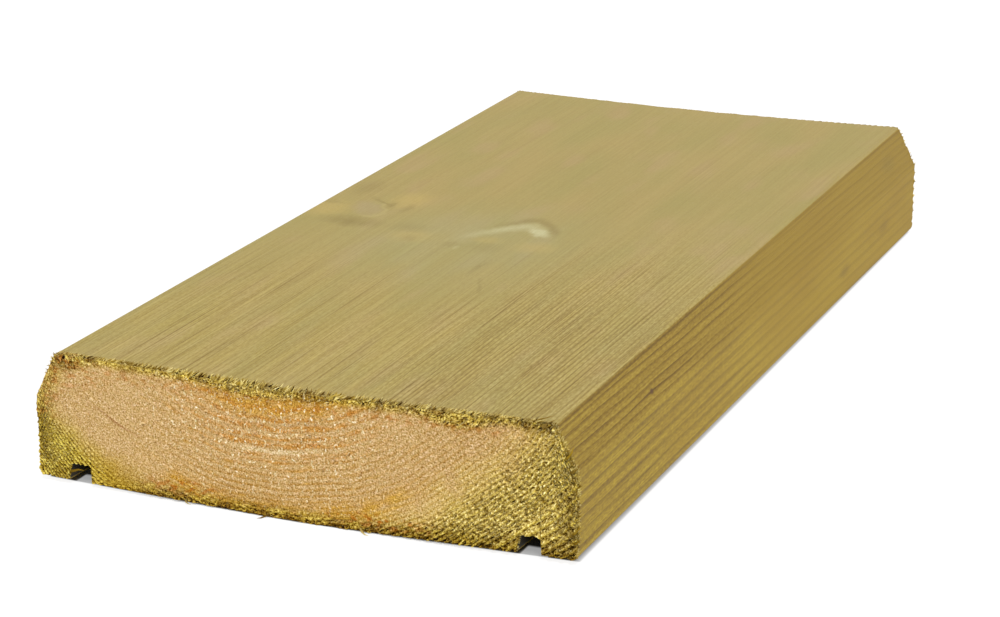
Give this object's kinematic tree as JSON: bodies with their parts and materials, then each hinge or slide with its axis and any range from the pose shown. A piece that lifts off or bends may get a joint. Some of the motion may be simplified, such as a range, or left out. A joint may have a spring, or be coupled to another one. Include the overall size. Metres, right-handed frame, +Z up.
{
  "type": "decking board",
  "caption": "Short length of planed softwood decking board with bevelled top edges and drip grooves in its underside.",
  "frame": {"origin": "middle of the flat underside that lies on the joists", "axes": "+X across the board, +Y along the grain, +Z up through the walking face"},
  "size_m": [0.145, 0.3, 0.034],
  "materials": {
    "treated_softwood": "planed and pressure treated, sawn ends left rough"
  },
  "bodies": {
    "root": {"decking_board": "treated_softwood"}
  },
  "joints": []
}
